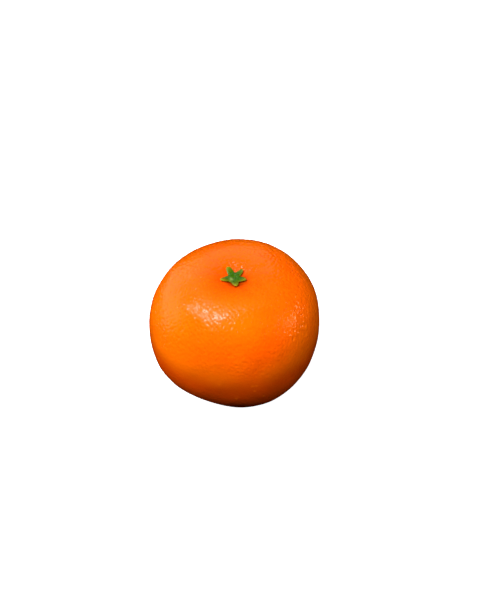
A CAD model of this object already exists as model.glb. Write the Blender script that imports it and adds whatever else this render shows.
"""A whole mandarin, as it looks: the pored rind and the green calyx that stayed on when it was picked.

Metres, +Z up. The camera of the photograph looks along +Y, from 47 degrees above.
Azimuths are degrees from the front (-Y), positive towards +X. Elevations are degrees above the equator.
"""

import math

import bmesh
import bpy
import numpy as np
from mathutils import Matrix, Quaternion, Vector, kdtree, noise
from mathutils.bvhtree import BVHTree
from mathutils.geometry import delaunay_2d_cdt


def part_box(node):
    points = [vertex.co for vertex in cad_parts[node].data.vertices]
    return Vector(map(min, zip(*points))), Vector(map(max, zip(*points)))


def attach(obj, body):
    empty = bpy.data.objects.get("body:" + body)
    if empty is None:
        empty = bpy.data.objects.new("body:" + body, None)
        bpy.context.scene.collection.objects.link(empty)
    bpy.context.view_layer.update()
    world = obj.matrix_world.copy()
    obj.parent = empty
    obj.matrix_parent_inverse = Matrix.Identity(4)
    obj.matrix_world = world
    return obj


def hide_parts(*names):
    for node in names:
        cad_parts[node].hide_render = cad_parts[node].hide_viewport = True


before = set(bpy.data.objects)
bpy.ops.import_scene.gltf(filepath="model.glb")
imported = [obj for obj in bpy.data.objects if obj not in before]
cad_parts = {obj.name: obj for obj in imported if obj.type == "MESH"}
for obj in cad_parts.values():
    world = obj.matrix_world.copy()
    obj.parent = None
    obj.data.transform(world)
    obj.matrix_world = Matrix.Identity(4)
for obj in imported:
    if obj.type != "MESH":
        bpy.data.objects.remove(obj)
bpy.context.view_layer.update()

bl_info = {
    "name": "Mandarin",
    "version": (1, 0, 0),
    "blender": (4, 5, 0),
    "location": "View3D > Sidebar > Mandarin",
    "description": "Grows the rind and the calyx of a mandarin round its solids, and sets up a photo stage",
    "category": "Object",
}

MM = 0.001

# The fruit as a turned shape, before the swellings: an outline's exponent of 2 is an ellipse, and more is
# squarer
FRUIT_WIDTH = 61.0 * MM
CROWN_HEIGHT = 27.2 * MM
CROWN_SQUARENESS = 2.3
BASE_DEPTH = 27.6 * MM
BASE_SQUARENESS = 2.35

# Where it is fuller, or flatter, than a turned shape: azimuth, elevation, height and breadth in degrees
SWELLINGS = (
    (110, 15, 1.1 * MM, 34),
    (150, 40, 1.1 * MM, 30),
    (-90, -5, 0.5 * MM, 32),
    (-60, -28, 0.4 * MM, 26),
    (-25, -42, -1.2 * MM, 26),
    (28, -42, 0.7 * MM, 30),
    (65, -20, 0.2 * MM, 30),
    (-165, -15, 0.5 * MM, 35),
)

# The flat spot that the fruit rests on, and how close over it a point still counts as on it
REST_RADIUS = 7.5 * MM
REST_MARGIN = 0.01 * MM

# The basin that the calyx sits in, the pit of the stalk, and the grooves that run out over the shoulder
BASIN_CENTRE = (0.2 * MM, -0.9 * MM)
BASIN_HOLLOWS = ((2.4 * MM, 9.0 * MM), (1.4 * MM, 4.5 * MM))
STALK_PIT_DEPTH = 1.4 * MM
STALK_PIT_REACH = 1.3 * MM
GROOVES = 10
GROOVE_DEPTH = 0.16 * MM
GROOVE_RADIUS = 10.0 * MM
GROOVE_SPREAD = 5.0 * MM

# Soft unevenness: broad lumps, and the finer pebbling between the pores
LUMP_HEIGHT = 0.18 * MM
LUMP_SIZE = 8.0 * MM
PEBBLE_HEIGHT = 0.04 * MM
PEBBLE_SIZE = 1.3 * MM

# Where the fruit's own axis stands, and how high its equator is, once it rests on its flat spot
AXIS_PLACE = Vector((-0.10 * MM, -0.25 * MM, 27.16 * MM))

# The pores: how far they are moved out of line, as a share of their spacing, and the shares of the settings
# between which their depth and their reach are drawn
PORE_JOSTLE = 0.3
PORE_DEPTHS = (0.3, 1.0)
PORE_REACHES = (0.75, 1.25)

# The area that a point has in an even spread, for a spacing of 1
EVEN_SHARE = 0.866

# The mesh points: how many ring each pore, where the ring lies between the pore's middle and its rim, how far
# the points between the pores are moved out of line, and how much of a pore's reach they stay out of
RING_POINTS = 7
RING_SHARE = 0.55
GROUND_JOSTLE = 0.25
GROUND_CLEARANCE = 0.85

# Pores are shallower round the calyx and on the flat spot: the reach of the calm rind and what it takes off
# their depth, and the share of it that is left on the flat spot
CALYX_CALM_REACH = 3.6 * MM
CALYX_CALM = 0.75
REST_PORES = 0.3

# They are also shallower low down: in full from the equator down, and less and less up to this height over
# it. These shares are taken off the pores at the back, off the pores in front, and off the pebbling.
CALM_TOP = 14.0 * MM
PORE_CALM_BEHIND = 0.35
PORE_CALM_IN_FRONT = 0.8
PEBBLE_CALM = 0.7

# Where the front begins and from where on it counts in full, along Y
FRONT_FROM = 14.0 * MM
FRONT_FULL = -10.0 * MM

# Redder patches of rind, round the calyx and low on the right: middle, reach, and how red
RED_PATCHES = (
    ((-1.5 * MM, -1.5 * MM, 24.0 * MM), 12.0 * MM, 0.95),
    ((11.0 * MM, -25.0 * MM, 11.0 * MM), 9.0 * MM, 0.5),
)

# Middle and half sizes of the dull oval of rind in front of the calyx
DULL_PLACE = (1.0 * MM, -7.0 * MM)
DULL_SIZE = (15.0 * MM, 9.5 * MM)

# Middle and reach of the deep brownish rind, which the calyx covers and shades
COVERED_PLACE = (1.2 * MM, -1.9 * MM)
COVERED_REACH = 4.0 * MM

# The share of the pores that are pale low down, and how far out their paleness goes, in reaches of the pore
PALE_PORES = 0.015
PALE_REACH = 1.2

# The reach of the dry spot where the flower's style was
STYLE_REACH = 1.3 * MM

# How sharp the edge of a spot on the rind is, as the power of its fall
SOFT_EDGE = 4
SHARP_EDGE = 6

# Calyx lobes, counter-clockwise from above: azimuth, length and breadth of the tip from the calyx's centre,
# the breadth of the root, then azimuth and radius of the corner of the notch that follows
CALYX_LOBES = (
    (-149.5, 4.95 * MM, 1.6 * MM, 2.4 * MM, -112, 2.3 * MM),
    (-66.5, 5.5 * MM, 0.9 * MM, 2.2 * MM, -41, 2.4 * MM),
    (6.0, 5.2 * MM, 1.0 * MM, 2.6 * MM, 31, 2.4 * MM),
    (66, 4.55 * MM, 0.8 * MM, 2.3 * MM, 108, 1.8 * MM),
    (137, 4.3 * MM, 1.3 * MM, 1.8 * MM, 178, 2.2 * MM),
)

# How far out along a lobe its root is measured, and how many times the outline's corners are cut off
ROOT_SHARE = 0.62
CORNER_CUTS = 3

# Rings of the calyx's mesh from its underside to its top, and the fine unevenness of its skin
CALYX_RINGS = 56
GRAIN_HEIGHT = 0.03 * MM
GRAIN_SIZE = 0.9 * MM

# The ring-shaped scar that the stalk left
SCAR_RADIUS = 1.35 * MM
SCAR_WIDTH = 0.4 * MM

# The calyx's underside: how far out its foot reaches, the gap between foot and rind, and how much the middle
# of a lobe hangs down under its edges, as a share of their lift
FOOT_REACH = 1.6 * MM
FOOT_GAP = 0.1 * MM
LOBE_HANG = 0.3

# Where the lobes begin to turn yellower, and where they are yellowest, from the calyx's centre
TIP_FROM = 2.2 * MM
TIP_FULL = 5.2 * MM

# The pale worn place on the calyx, from its centre
WORN_PLACE = (-1.1 * MM, -1.1 * MM)
WORN_REACH = 0.7 * MM

# The panes of the window in front on the left: azimuth, elevation and power of each, then their distance,
# their size and how far they are rolled over
PANES = ((-90, 52, 0.36), (-68, 62.5, 0.56), (-42, 70, 0.4))
PANE_DISTANCE = 0.55
PANE_SIZE = (0.1, 0.028)
PANE_ROLL = 39

# Half the floor's width, in metres
FLOOR_REACH = 6.0

# The photograph's frame in pixels, and how far its middle lies right of and above the fruit's centre
PHOTO_SIZE = (480, 600)
AIM_OFFSET = (6.1, 23.28)


def linear(code):
    """An sRGB hex colour as linear red, green and blue."""
    parts = [int(code[i : i + 2], 16) / 255 for i in (1, 3, 5)]
    return [p / 12.92 if p <= 0.04045 else ((p + 0.055) / 1.055) ** 2.4 for p in parts]


def size_property(name, description, millimetres):
    return bpy.props.FloatProperty(
        name=name, description=description, default=millimetres * MM, unit="LENGTH", precision=5
    )


def colour_property(name, description, code):
    return bpy.props.FloatVectorProperty(
        name=name, description=description, default=linear(code), subtype="COLOR", min=0, max=1
    )


class RindSettings(bpy.types.PropertyGroup):
    ground_spacing: size_property("Ground spacing", "Distance between mesh points between the pores", 0.43)
    pore_spacing: size_property("Pore spacing", "Mean distance between the large oil glands", 1.45)
    pore_depth: size_property("Pore depth", "Depth of the deepest pores", 0.25)
    pore_reach: size_property("Pore reach", "Mean radius of a pore's dimple", 0.66)
    seed: bpy.props.IntProperty(name="Seed", description="Seed of the pores' places and sizes", default=11)
    ripe: colour_property("Ripe orange", "The rind's main colour", "#F96202")
    yellow: colour_property("Yellow orange", "The rind on its less ripe side, and pale glands", "#FB6E02")
    red: colour_property("Red orange", "The rind on its riper side", "#F85B02")
    basin: colour_property("Basin orange", "The redder patches, such as the one round the calyx", "#F44B00")
    base: colour_property("Base orange", "The rind on the lower front", "#DC4B01")
    covered: colour_property("Covered rind", "The rind that the calyx covers and shades", "#AE3C00")
    gland: colour_property("Gland", "The oil glands at the bottom of the pores", "#EA5001")
    scar: colour_property("Stylar scar", "The dry spot where the flower's style was", "#8A5A2B")


class CalyxSettings(bpy.types.PropertyGroup):
    thickness: size_property("Thickness", "Height of the calyx over the rind", 1.3)
    edge: size_property("Edge radius", "How far in the rounding of the lobes' edges reaches", 0.95)
    lift: size_property("Rim lift", "Height of the lobes' lowest edge over the rind", 0.8)
    scar_height: size_property("Scar height", "Height of the ring that the stalk left", 0.28)
    centre: colour_property("Centre green", "The middle of the calyx", "#305D04")
    lobe: colour_property("Lobe green", "The upper side of the lobes", "#586806")
    tip: colour_property("Tip green", "The tips and the side faces of the lobes", "#8E8C18")
    worn: colour_property("Worn green", "The pale worn place by the scar", "#7E9046")


class StageSettings(bpy.types.PropertyGroup):
    elevation: bpy.props.FloatProperty(
        name="Camera height",
        description="Angle of the camera above level",
        default=math.radians(47),
        subtype="ANGLE",
    )
    distance: size_property("Camera distance", "From the fruit's centre to the camera", 519.0)
    lens: bpy.props.FloatProperty(name="Lens", description="Focal length in millimetres", default=85)
    floor: colour_property("Floor", "The pale floor and the room behind it", "#FFFFFF")
    window: colour_property("Warm window", "The light of the window on the right", "#FFEDB3")


def make_material(name):
    material = bpy.data.materials.new(name)
    material.use_nodes = True
    tree = material.node_tree
    return material, tree, tree.nodes["Principled BSDF"]


def set_sockets(node, values):
    for socket, value in values.items():
        node.inputs[socket].default_value = value


def add(tree, kind, links=None, values=None, **settings):
    """Adds a node with its settings. Links join its sockets to other nodes' sockets, and values set them.
    Both go by a socket's name, or by its place where several have the same name."""
    node = tree.nodes.new(kind)
    for name, setting in settings.items():
        setattr(node, name, setting)
    set_sockets(node, values or {})
    for socket, source in (links or {}).items():
        tree.links.new(source, node.inputs[socket])
    return node


def places_in_mm(tree):
    """The piece's own coordinates in millimetres."""
    place = add(tree, "ShaderNodeTexCoord").outputs["Object"]
    return add(tree, "ShaderNodeVectorMath", {0: place}, {"Scale": 1 / MM}, operation="SCALE").outputs[0]


def ramped(tree, amount, start, middle, end):
    """A colour that runs with an amount from a start through a middle to an end, each a position and a
    colour."""
    ramp = add(tree, "ShaderNodeValToRGB", {0: amount})
    stops = ramp.color_ramp.elements
    stops.new(middle[0])
    for stop, (position, colour) in zip(stops, (start, middle, end)):
        stop.position = position
        stop.color = (*colour, 1)
    return ramp.outputs[0]


def mixed(tree, share, colour, over):
    """Lays a plain colour over another by a share. A Mix node's colours are sockets 6 and 7 and output 2."""
    mix = add(tree, "ShaderNodeMix", {0: share, 6: colour}, {7: (*over, 1)}, data_type="RGBA")
    return mix.outputs[2]


def tinted(tree, colour, tints):
    """Lays tints over a colour one by one, each where an attribute of the mesh says, and by a share of it."""
    for attribute, share, tint in tints:
        amount = add(tree, "ShaderNodeAttribute", attribute_name=attribute)
        part = add(tree, "ShaderNodeMath", {0: amount.outputs["Fac"]}, {1: share}, operation="MULTIPLY")
        colour = mixed(tree, part.outputs[0], colour, tint)
    return colour


def make_piece(name, mesh, material, node):
    """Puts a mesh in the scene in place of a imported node, riding on the one body."""
    mesh.materials.append(material)
    mesh.shade_smooth()
    piece = bpy.data.objects.new(name, mesh)
    bpy.context.scene.collection.objects.link(piece)
    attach(piece, "root")
    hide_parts(node)
    return piece


def towards(azimuth, elevation):
    """Unit vector for an azimuth and an elevation in degrees."""
    across = math.cos(math.radians(elevation))
    turn = math.radians(azimuth)
    return Vector((math.sin(turn) * across, -math.cos(turn) * across, math.sin(math.radians(elevation))))


def uneven(points, size):
    """Smooth noise from -1 to 1 with lumps of a given size, for each point."""
    return np.array([noise.noise(Vector(point)) for point in points / size])


def turned_radius(directions):
    """Distance from the fruit's centre to the turned shape, along each direction."""
    across = np.hypot(directions[:, 0], directions[:, 1]) / (FRUIT_WIDTH / 2)
    up = directions[:, 2] > 0
    along = np.abs(directions[:, 2]) / np.where(up, CROWN_HEIGHT, BASE_DEPTH)
    power = np.where(up, CROWN_SQUARENESS, BASE_SQUARENESS)
    return (across**power + along**power) ** (-1 / power)


def swelling(directions):
    total = np.zeros(len(directions))
    for azimuth, elevation, height, breadth in SWELLINGS:
        apart = np.degrees(np.arccos(np.clip(directions @ np.array(towards(azimuth, elevation)), -1, 1)))
        total += height * np.exp(-((apart / breadth) ** 2))
    return total


def stalk_pit(radius):
    return STALK_PIT_DEPTH * np.exp(-((radius / STALK_PIT_REACH) ** 2))


def basin_depth(points):
    """How far the top is hollowed round the calyx, with the grooves that leave it and the stalk's pit."""
    right, back = (points[:, :2] - BASIN_CENTRE).T
    radius = np.hypot(right, back)
    hollow = sum(depth * np.exp(-((radius / reach) ** 2)) for depth, reach in BASIN_HOLLOWS)
    fade = np.exp(-(((radius - GROOVE_RADIUS) / GROOVE_SPREAD) ** 2))
    groove = GROOVE_DEPTH * 0.5 * (1 - np.cos(GROOVES * np.arctan2(back, right)))
    return hollow + groove * fade + stalk_pit(radius)


def rest_level():
    """Height of the flat spot below the equator, where the base is as wide as the spot."""
    share = REST_RADIUS / (FRUIT_WIDTH / 2)
    return -BASE_DEPTH * (1 - share**BASE_SQUARENESS) ** (1 / BASE_SQUARENESS)


def smooth_surface(directions):
    """The fruit's surface without its pores, with the equator at height 0."""
    lumps = LUMP_HEIGHT * uneven(directions * FRUIT_WIDTH / 2, LUMP_SIZE)
    points = directions * (turned_radius(directions) + swelling(directions) + lumps)[:, None]
    points[:, 2] -= np.where(points[:, 2] > 0, basin_depth(points), 0)
    points[:, 2] = np.maximum(points[:, 2], rest_level())
    return points


def spot(points, middle, reach, power):
    """A round or oval spot on the upper half, as seen from above: 1 in its middle and 0 outside it. A higher
    power gives it a sharper edge."""
    away = np.hypot(*((points[:, :2] - middle) / reach).T)
    return np.where(points[:, 2] > 0, np.exp(-(away**power)), 0)


def redness(points):
    """How red the rind is at each point, from 0 to 1."""
    total = np.zeros(len(points))
    for middle, reach, share in RED_PATCHES:
        away = np.linalg.norm(points - np.array(middle), axis=1)
        total += share * np.exp(-((away / reach) ** 2))
    return np.minimum(total, 1)


def low_down(points):
    """1 from the equator down, falling to 0 at the top of the calmer rind."""
    return np.interp(points[:, 2], (0, CALM_TOP), (1, 0))


def pore_share(points, rest):
    """How much of the pores' depth is left at each point. Rest says which points are on the flat spot."""
    front = np.interp(points[:, 1], (FRONT_FULL, FRONT_FROM), (1, 0))
    calm = low_down(points) * (PORE_CALM_BEHIND + (PORE_CALM_IN_FRONT - PORE_CALM_BEHIND) * front)
    near_calyx = CALYX_CALM * spot(points, BASIN_CENTRE, CALYX_CALM_REACH, SOFT_EDGE)
    return (1 - near_calyx) * (1 - calm) * np.where(rest, REST_PORES, 1)


def read_vectors(items, name):
    values = np.zeros(len(items) * 3)
    items.foreach_get(name, values)
    return values.reshape(-1, 3)


def write_attribute(mesh, name, values):
    attribute = mesh.attributes.new(name, "FLOAT", "POINT")
    attribute.data.foreach_set("value", np.asarray(values, np.float32))


def tree_of(points):
    tree = kdtree.KDTree(len(points))
    for index, point in enumerate(points):
        tree.insert(point, index)
    tree.balance()
    return tree


def scatter(spacing, jostle, draw):
    """Directions spread evenly over a ball along a spiral, each moved by up to a share of the spacing."""
    radius = FRUIT_WIDTH / 2
    count = int(4 * math.pi * radius**2 / (EVEN_SHARE * spacing**2))
    step = np.arange(count) + 0.5
    height = 1 - 2 * step / count
    turn = step * math.pi * (3 - math.sqrt(5))
    across = np.sqrt(1 - height**2)
    places = np.stack([across * np.cos(turn), across * np.sin(turn), height], 1)
    places += draw.uniform(-jostle, jostle, places.shape) * spacing / radius
    return places / np.linalg.norm(places, axis=1)[:, None]


def ringed(pores, reach, draw):
    """The pores' directions, each with a ring of directions round it on the slope of its dimple."""
    side = np.cross(pores, (0, 0, 1))
    side /= np.linalg.norm(side, axis=1)[:, None]
    up = np.cross(pores, side)
    out = RING_SHARE * reach / (FRUIT_WIDTH / 2)
    first = draw.uniform(0, math.tau, len(pores))
    rings = [pores]
    for step in range(RING_POINTS):
        turn = first + math.tau * step / RING_POINTS
        rings.append(pores + (np.cos(turn) * out)[:, None] * side + (np.sin(turn) * out)[:, None] * up)
    places = np.concatenate(rings)
    return places / np.linalg.norm(places, axis=1)[:, None]


def nearest_pores(points, pores):
    """Index of the pore nearest to each point, and the distance to it."""
    tree = tree_of(pores)
    found = [tree.find(point) for point in points]
    return np.array([hit[1] for hit in found]), np.array([hit[2] for hit in found])


def ball_mesh(directions):
    """A closed mesh over directions on a ball: they are flattened from its south pole, where circles stay
    circles, and joined into even triangles. Returns the directions in the order of the mesh's points."""
    flat = directions[:, :2] / (1 + directions[:, 2:])
    _, _, faces, sources, _, _ = delaunay_2d_cdt([Vector(place) for place in flat], [], [], 0, 1e-9)
    directions = directions[[source[0] for source in sources]]
    mesh = bpy.data.meshes.new("fruit_skin")
    mesh.from_pydata(directions.tolist(), [], faces)
    bm = bmesh.new()
    bm.from_mesh(mesh)
    bmesh.ops.holes_fill(bm, edges=bm.edges[:])
    bm.to_mesh(mesh)
    bm.free()
    return mesh, directions


def move_to(mesh, points):
    mesh.vertices.foreach_set("co", points.ravel())
    mesh.update()


def fit_to_node(points, name):
    """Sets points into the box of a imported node, so that the piece is exactly as large as its solid."""
    low, high = (np.array(corner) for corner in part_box(name))
    found_low, found_high = points.min(0), points.max(0)
    return low + (points - found_low) * (high - low) / (found_high - found_low)


class MANDARIN_OT_rind(bpy.types.Operator):
    """Grows the rind: the whole outside of the fruit, with its pores, basin and flat spot"""

    bl_idname = "mandarin.rind"
    bl_label = "Rind"

    def execute(self, context):
        settings = context.scene.mandarin_rind
        draw = np.random.default_rng(settings.seed)
        pores = scatter(settings.pore_spacing, PORE_JOSTLE, draw)
        strength = draw.uniform(*PORE_DEPTHS, len(pores))
        reach = settings.pore_reach * draw.uniform(*PORE_REACHES, len(pores))
        ground = scatter(settings.ground_spacing, GROUND_JOSTLE, draw)
        index, apart = nearest_pores(ground, pores)
        ground = ground[apart * FRUIT_WIDTH / 2 > GROUND_CLEARANCE * reach[index]]
        mesh, directions = ball_mesh(np.concatenate([ringed(pores, reach, draw), ground]))

        # Each point's distance from its pore, as a share of the pore's reach, gives the dimple there
        points = smooth_surface(directions)
        index, apart = nearest_pores(points, smooth_surface(pores))
        away = apart / reach[index]
        low = low_down(points)
        rest = points[:, 2] <= rest_level() + REST_MARGIN
        depths = strength[index] * np.clip(1 - away**2, 0, None) ** 2 * pore_share(points, rest)
        pebbles = PEBBLE_HEIGHT * (uneven(points, PEBBLE_SIZE) - 1) * (1 - PEBBLE_CALM * low)
        pebbles = np.where(rest, 0, pebbles)
        move_to(mesh, points)
        normals = read_vectors(mesh.vertex_normals, "vector")
        points += normals * (pebbles - settings.pore_depth * depths)[:, None]
        move_to(mesh, fit_to_node(points, "fruit"))

        # What the material reads from the mesh. The stylar scar is underneath, so its spot is turned over.
        pale = (draw.uniform(size=len(pores)) < PALE_PORES)[index] * np.clip(PALE_REACH - away, 0, 1)
        write_attribute(mesh, "pore", depths)
        write_attribute(mesh, "redness", redness(points))
        write_attribute(mesh, "dull", spot(points, DULL_PLACE, DULL_SIZE, SHARP_EDGE))
        write_attribute(mesh, "covered", spot(points, COVERED_PLACE, COVERED_REACH, SHARP_EDGE))
        write_attribute(mesh, "pale", pale * low)
        write_attribute(mesh, "style_scar", spot(points * (1, 1, -1), (0, 0), STYLE_REACH, SOFT_EDGE))
        make_piece("fruit_skin", mesh, rind_material(settings), "fruit")
        return {"FINISHED"}


def rind_material(settings):
    """Waxed citrus rind: a clear thin wax over a translucent orange skin, dimpled by oil glands. It gives the
    eye a saturated orange that glows a little, and a highlight broken up by the pores."""
    material, tree, shader = make_material("waxed_citrus_rind")
    mm = places_in_mm(tree)

    # Ripening: yellower on the left, redder on the right, in soft patches about 20 mm across
    patches = add(tree, "ShaderNodeTexNoise", {"Vector": mm}, {"Scale": 1 / 20, "Detail": 3})
    along = add(tree, "ShaderNodeSeparateXYZ", {0: mm})
    sideways = {"From Min": -30, "From Max": 30, "To Min": -0.22, "To Max": -0.06}
    side = add(tree, "ShaderNodeMapRange", {0: along.outputs[0]}, sideways)
    ripeness = add(tree, "ShaderNodeMath", {0: patches.outputs[0], 1: side.outputs[0]}, operation="ADD")
    stops = (0.22, settings.yellow), (0.5, settings.ripe), (0.78, settings.red)
    orange = ramped(tree, ripeness.outputs[0], *stops)

    # The front's lower cheek is a deeper orange, which sets in from 32 to 23 mm over the floor
    soft = "SMOOTHSTEP"
    downwards = {"From Min": 32, "From Max": 23}
    forwards = {"From Min": FRONT_FROM / MM, "From Max": FRONT_FULL / MM}
    low = add(tree, "ShaderNodeMapRange", {0: along.outputs[2]}, downwards, interpolation_type=soft)
    front = add(tree, "ShaderNodeMapRange", {0: along.outputs[1]}, forwards, interpolation_type=soft)
    cheek = add(tree, "ShaderNodeMath", {0: low.outputs[0], 1: front.outputs[0]}, operation="MULTIPLY")
    orange = mixed(tree, cheek.outputs[0], orange, settings.base)

    # Redder patches, brownish rind in the calyx's shade, a few pale glands, a darker dot in each pore, and
    # the dry brown stylar scar
    tints = (
        ("redness", 1.0, settings.basin),
        ("covered", 1.0, settings.covered),
        ("pale", 0.6, settings.yellow),
        ("pore", 0.12, settings.gland),
        ("style_scar", 1.0, settings.scar),
    )
    tree.links.new(tinted(tree, orange, tints), shader.inputs["Base Color"])

    # Small glands between the large ones, about 0.55 mm apart, and the wax's own grain of about 0.35 mm
    small = add(tree, "ShaderNodeTexVoronoi", {"Vector": mm}, {"Scale": 1 / 0.55}, feature="SMOOTH_F1")
    dimple = {"From Min": 0, "From Max": 0.55, "To Min": -1, "To Max": 0}
    small_shape = add(tree, "ShaderNodeMapRange", {0: small.outputs[0]}, dimple)
    grain = add(tree, "ShaderNodeTexNoise", {"Vector": mm}, {"Scale": 1 / 0.35})
    heights = {0: grain.outputs[0], 2: small_shape.outputs[0]}
    both = add(tree, "ShaderNodeMath", heights, {1: 0.7}, operation="MULTIPLY_ADD")
    bump = add(tree, "ShaderNodeBump", {"Height": both.outputs[0]}, {"Strength": 0.12, "Distance": 0.05 * MM})
    tree.links.new(bump.outputs[0], shader.inputs["Normal"])

    # The wax is thinner in patches of about 3 mm, and dull in front of the calyx
    wax = add(tree, "ShaderNodeTexNoise", {"Vector": mm}, {"Scale": 1 / 3})
    thinner = {"From Min": 0.3, "From Max": 0.7, "To Min": 0.09, "To Max": 0.14}
    gloss = add(tree, "ShaderNodeMapRange", {0: wax.outputs[0]}, thinner)
    dull = add(tree, "ShaderNodeAttribute", attribute_name="dull")
    layers = {0: dull.outputs["Fac"], 2: gloss.outputs[0]}
    roughness = add(tree, "ShaderNodeMath", layers, {1: 0.35}, operation="MULTIPLY_ADD")
    level = add(tree, "ShaderNodeMapRange", {0: dull.outputs["Fac"]}, {"To Min": 0.5, "To Max": 0.05})
    tree.links.new(roughness.outputs[0], shader.inputs["Roughness"])
    tree.links.new(level.outputs[0], shader.inputs["Specular IOR Level"])

    # Light goes a little way into the skin, red the farthest
    set_sockets(shader, {"IOR": 1.45, "Subsurface Weight": 0.05, "Subsurface Scale": 1.5 * MM})
    set_sockets(shader, {"Subsurface Radius": (1.0, 0.35, 0.1)})
    return material


def star_outline():
    """Points round the calyx as offsets from its centre: the lobes' corners, rounded by cutting them off."""
    corners = []
    for tip, length, breadth, root, notch, depth in CALYX_LOBES:
        end = towards(tip, 0) * length
        side = towards(tip + 90, 0)
        corners += [end * ROOT_SHARE - side * root / 2, end - side * breadth / 2]
        corners += [end + side * breadth / 2, end * ROOT_SHARE + side * root / 2]
        corners += [towards(notch, 0) * depth]
    for _ in range(CORNER_CUTS):
        cut = []
        for here, after in zip(corners, corners[1:] + corners[:1]):
            cut += [here.lerp(after, 0.25), here.lerp(after, 0.75)]
        corners = cut
    return np.array(corners)[:, :2]


def edge_distance(offsets, outline):
    """Distance of each place from the nearest point of the outline."""
    gaps = offsets[:, None, :] - outline[None, :, :]
    return np.sqrt((gaps**2).sum(2)).min(1)


def packed_ground(places):
    """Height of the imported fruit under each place."""
    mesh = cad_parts["fruit"].data
    faces = [tuple(face.vertices) for face in mesh.polygons]
    tree = BVHTree.FromPolygons([vert.co.copy() for vert in mesh.vertices], faces)
    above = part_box("fruit")[1].z * 2
    hits = [tree.ray_cast(Vector((x, y, above)), Vector((0, 0, -1)))[0] for x, y in places]
    return np.array([hit.z for hit in hits])


def ball_points(segments, rings):
    """A mesh of a ball for the calyx, and its points."""
    bm = bmesh.new()
    bmesh.ops.create_uvsphere(bm, u_segments=segments, v_segments=rings, radius=1.0)
    mesh = bpy.data.meshes.new("calyx_star")
    bm.to_mesh(mesh)
    bm.free()
    return mesh, read_vectors(mesh.vertices, "co")


class MANDARIN_OT_calyx(bpy.types.Operator):
    """Grows the calyx: five fleshy lobes and the ring that the stalk left, sitting down in the basin"""

    bl_idname = "mandarin.calyx"
    bl_label = "Calyx"

    def execute(self, context):
        settings = context.scene.mandarin_calyx

        # A ball is spread out over the star: its rim goes to the outline, and its poles to the centre
        outline = star_outline()
        mesh, ball = ball_points(len(outline), CALYX_RINGS)
        share = np.hypot(ball[:, 0], ball[:, 1])
        step = np.rint(np.arctan2(ball[:, 1], ball[:, 0]) / math.tau * len(outline)).astype(int)
        offsets = outline[step % len(outline)] * share[:, None]
        radius = np.hypot(offsets[:, 0], offsets[:, 1])
        places = np.array(BASIN_CENTRE) + np.array(AXIS_PLACE)[:2] + offsets
        ground = packed_ground(places)

        # The upper side is rounded at the edges, and the underside narrows to the foot in the stalk's pit
        inward = edge_distance(offsets, outline)
        rounding = np.sqrt(1 - (1 - np.minimum(inward / settings.edge, 1)) ** 2)
        ring = settings.scar_height * np.exp(-(((radius - SCAR_RADIUS) / SCAR_WIDTH) ** 2))
        body = (settings.thickness - settings.lift) * rounding
        grain = GRAIN_HEIGHT * uneven(np.c_[offsets, ball[:, 2] * MM], GRAIN_SIZE)
        top = ground + stalk_pit(radius) + settings.lift + body + ring + grain
        foot = np.exp(-((radius / FOOT_REACH) ** 2))
        below = ground + FOOT_GAP + (settings.lift - FOOT_GAP) * (1 - foot) * (1 - LOBE_HANG * rounding)
        upper = ball[:, 2] > 0
        move_to(mesh, np.c_[places, np.where(upper, top, below)])

        from_worn = np.hypot(*(offsets - WORN_PLACE).T)
        write_attribute(mesh, "tip", np.interp(radius, (TIP_FROM, TIP_FULL), (0, 1)))
        write_attribute(mesh, "side", np.where(upper, 1 - rounding, 1))
        write_attribute(mesh, "worn", np.exp(-((from_worn / WORN_REACH) ** 2)))
        make_piece("calyx_star", mesh, calyx_material(settings), "calyx")
        return {"FINISHED"}


def calyx_material(settings):
    """Fresh fleshy calyx: smooth green leaf tissue with a thin waxy skin. It gives the eye a deep green
    middle, yellower edges and tips, and small soft highlights."""
    material, tree, shader = make_material("fleshy_green_calyx")
    mm = places_in_mm(tree)

    # Green deepens to the middle and turns yellow at the tips, mottled in patches of about 0.8 mm
    mottle = add(tree, "ShaderNodeTexNoise", {"Vector": mm}, {"Scale": 1 / 0.8, "Detail": 4})
    spread = add(tree, "ShaderNodeMath", {0: mottle.outputs[0]}, {1: 0.5, 2: -0.25}, operation="MULTIPLY_ADD")
    tip = add(tree, "ShaderNodeAttribute", attribute_name="tip")
    outwards = add(tree, "ShaderNodeMath", {0: tip.outputs["Fac"], 1: spread.outputs[0]}, operation="ADD")
    green = ramped(tree, outwards.outputs[0], (0, settings.centre), (0.45, settings.lobe), (1, settings.tip))

    # The side faces are yellower too, and the worn place is paler
    tints = (("side", 0.5, settings.tip), ("worn", 0.8, settings.worn))
    tree.links.new(tinted(tree, green, tints), shader.inputs["Base Color"])

    # Fine wrinkles of the drying skin, about 0.25 mm apart
    wrinkles = add(tree, "ShaderNodeTexNoise", {"Vector": mm}, {"Scale": 1 / 0.25})
    depth = {"Strength": 0.2, "Distance": 0.05 * MM}
    bump = add(tree, "ShaderNodeBump", {"Height": wrinkles.outputs[0]}, depth)
    tree.links.new(bump.outputs[0], shader.inputs["Normal"])
    set_sockets(shader, {"Roughness": 0.22, "IOR": 1.45})
    set_sockets(shader, {"Subsurface Weight": 0.15, "Subsurface Scale": 0.5 * MM})
    set_sockets(shader, {"Subsurface Radius": (0.4, 0.6, 0.1)})
    return material


def floor_material(colour):
    """Matt white card that glows by itself, so that it stays pale whatever the lights do."""
    material, tree, shader = make_material("lit_white_card")
    set_sockets(shader, {"Base Color": (*colour, 1), "Roughness": 0.9})
    set_sockets(shader, {"Emission Color": (*colour, 1), "Emission Strength": 0.93})
    return material


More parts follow.
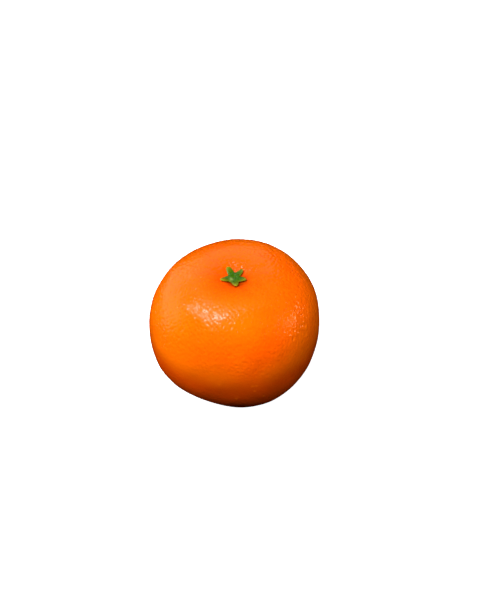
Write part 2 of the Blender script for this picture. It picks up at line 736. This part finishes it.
def softbox(name, azimuth, elevation, distance, size, power, roll=0, shine=True, fill=True, colour=(1, 1, 1)):
    """An area light that faces the fruit, rolled by some degrees about the line to it. Shine and fill say
    whether it shows in gloss and whether it lights matt surfaces."""
    data = bpy.data.lights.new(name, "AREA")
    data.shape = "RECTANGLE"
    data.size, data.size_y = size
    data.energy = power
    data.color = colour
    lamp = bpy.data.objects.new(name, data)
    bpy.context.scene.collection.objects.link(lamp)
    away = towards(azimuth, elevation)
    lamp.location = AXIS_PLACE + away * distance
    turned = away.to_track_quat("Z", "Y") @ Quaternion((0, 0, 1), math.radians(roll))
    lamp.rotation_euler = turned.to_euler()
    lamp.visible_camera = False
    lamp.visible_glossy = shine
    lamp.visible_diffuse = fill
    return lamp


def lay_floor(colour):
    """A wide pale floor. It doesn't light the fruit, show in its gloss or shade it."""
    bm = bmesh.new()
    bmesh.ops.create_grid(bm, x_segments=1, y_segments=1, size=FLOOR_REACH)
    mesh = bpy.data.meshes.new("floor")
    bm.to_mesh(mesh)
    bm.free()
    mesh.materials.append(floor_material(colour))
    floor = bpy.data.objects.new("floor", mesh)
    bpy.context.scene.collection.objects.link(floor)
    floor.visible_diffuse = False
    floor.visible_glossy = False
    floor.visible_shadow = False


def light_stage(warm):
    """Windows, a sky and walls that only show in the fruit's gloss, and soft lights that only light it."""
    for azimuth, elevation, power in PANES:
        softbox("pane", azimuth, elevation, PANE_DISTANCE, PANE_SIZE, power, roll=PANE_ROLL, fill=False)
    softbox("key", -43, 58, 0.6, (0.3, 0.3), 4.6, shine=False)
    softbox("overhead", -10, 78, 0.6, (0.3, 0.3), 1.4, shine=False)
    softbox("left_fill", -103, -12, 0.6, (0.3, 0.3), 2.3, shine=False)
    softbox("right_fill", 74, 26, 0.6, (0.3, 0.3), 1.4, shine=False)
    softbox("back_fill", 160, -14, 0.6, (0.5, 0.4), 1.4, shine=False)
    softbox("skylight", -141, 76, 0.55, (0.1, 0.05), 0.09, fill=False)
    softbox("left_wall", -118, 12, 0.7, (0.85, 0.5), 0.8, fill=False)
    softbox("back_wall", -172, 38, 0.7, (0.75, 0.55), 0.56, fill=False)
    softbox("right_window", 89, 10, 0.6, (0.26, 0.03), 0.32, roll=23, fill=False, colour=warm)


def fill_room(scene, colour):
    """A plain room for the camera only, which doesn't light the fruit or show in its gloss."""
    world = bpy.data.worlds.new("white_room")
    world.use_nodes = True
    set_sockets(world.node_tree.nodes["Background"], {"Color": (*colour, 1)})
    world.cycles_visibility.diffuse = False
    world.cycles_visibility.glossy = False
    scene.world = world


def place_camera(scene, settings):
    """Puts the camera where the photograph was taken, aimed so that the fruit falls on the same pixels."""
    data = bpy.data.cameras.new("camera")
    data.lens = settings.lens
    data.clip_start = 0.01
    camera = bpy.data.objects.new("camera", data)
    scene.collection.objects.link(camera)
    back = towards(0, math.degrees(settings.elevation))
    right = Vector((1, 0, 0))
    up = back.cross(right)
    focal = settings.lens / data.sensor_width * PHOTO_SIZE[1]
    aim = AXIS_PLACE + (right * AIM_OFFSET[0] + up * AIM_OFFSET[1]) * settings.distance / focal
    camera.location = AXIS_PLACE + back * settings.distance
    camera.rotation_euler = (camera.location - aim).to_track_quat("Z", "Y").to_euler()
    scene.camera = camera


class MANDARIN_OT_stage(bpy.types.Operator):
    """Sets up the pale floor, the soft lights and the camera of the photograph"""

    bl_idname = "mandarin.stage"
    bl_label = "Stage"

    def execute(self, context):
        settings = context.scene.mandarin_stage
        lay_floor(settings.floor)
        light_stage(settings.window)
        fill_room(context.scene, settings.floor)
        place_camera(context.scene, settings)
        context.scene.view_settings.view_transform = "Standard"
        return {"FINISHED"}


class MANDARIN_PT_panel(bpy.types.Panel):
    bl_label = "Mandarin"
    bl_idname = "MANDARIN_PT_panel"
    bl_space_type = "VIEW_3D"
    bl_region_type = "UI"
    bl_category = "Mandarin"

    def draw(self, context):
        for operator, settings in (
            (MANDARIN_OT_rind, context.scene.mandarin_rind),
            (MANDARIN_OT_calyx, context.scene.mandarin_calyx),
            (MANDARIN_OT_stage, context.scene.mandarin_stage),
        ):
            box = self.layout.box()
            box.operator(operator.bl_idname)
            for name in settings.__annotations__:
                box.prop(settings, name)


SETTINGS = {"mandarin_rind": RindSettings, "mandarin_calyx": CalyxSettings, "mandarin_stage": StageSettings}
CLASSES = (*SETTINGS.values(), MANDARIN_OT_rind, MANDARIN_OT_calyx, MANDARIN_OT_stage, MANDARIN_PT_panel)


def register():
    for cls in CLASSES:
        bpy.utils.register_class(cls)
    for name, group in SETTINGS.items():
        setattr(bpy.types.Scene, name, bpy.props.PointerProperty(type=group))


def unregister():
    for name in SETTINGS:
        delattr(bpy.types.Scene, name)
    for cls in reversed(CLASSES):
        bpy.utils.unregister_class(cls)


def main():
    register()
    bpy.ops.mandarin.rind()
    bpy.ops.mandarin.calyx()
    bpy.ops.mandarin.stage()


if __name__ == "__main__":
    main()
